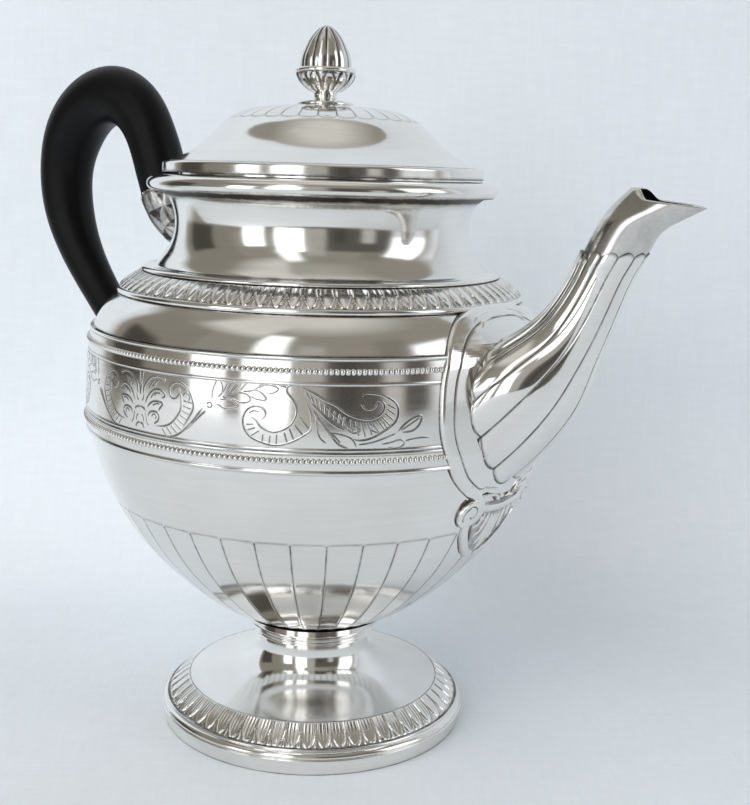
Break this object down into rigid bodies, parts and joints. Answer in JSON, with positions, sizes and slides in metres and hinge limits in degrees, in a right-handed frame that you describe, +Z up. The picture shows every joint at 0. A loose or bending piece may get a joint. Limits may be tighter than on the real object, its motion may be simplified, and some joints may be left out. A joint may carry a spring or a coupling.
{
  "type": "teapot",
  "caption": "Footed silver teapot with a fluted bowl, engraved belly band, lobed spout, hinged lid with an acorn finial and a black wood loop handle.",
  "frame": {"origin": "middle of the foot's base ring, in the plane that it stands on", "axes": "+Z up along the pot's axis, +X towards the spout, the handle along -X"},
  "size_m": [0.2419, 0.1416, 0.2124],
  "materials": {
    "silver": "polished, with tarnish in the ornament",
    "ebonised_wood": "satin black"
  },
  "bodies": {
    "pot": {"foot_ring": "silver", "foot_leaf_band": "silver", "foot_dome": "silver", "stem_collar": "silver", "bowl": "silver", "belly_band": "silver", "lower_bead_wire": "silver", "upper_bead_wire": "silver", "shoulder": "silver", "shoulder_fillet": "silver", "shoulder_leaf_band": "silver", "neck": "silver", "rim": "silver", "spout_body": "silver", "spout_lip": "silver", "spout_strap": "silver", "spout_drop": "silver", "strainer": "silver", "lower_socket": "silver", "upper_socket": "silver", "lower_handle_pin": "silver", "upper_handle_pin": "silver", "left_rim_knuckle": "silver", "right_rim_knuckle": "silver", "hinge_pin": "silver", "handle": "ebonised_wood"},
    "lid": {"lid_knuckle": "silver", "lid_dome": "silver", "lid_flange": "silver", "lid_bezel": "silver", "finial_base": "silver", "finial_cup": "silver", "finial_acorn": "silver", "finial_stud": "silver", "finial_nut": "silver"}
  },
  "joints": [
    {"name": "lid_hinge", "type": "hinge", "parent": "pot", "child": "lid", "pos_m": [-0.0499, 0, 0.17055], "axis": [0, -1, 0], "range_deg": [0, 90]}
  ]
}
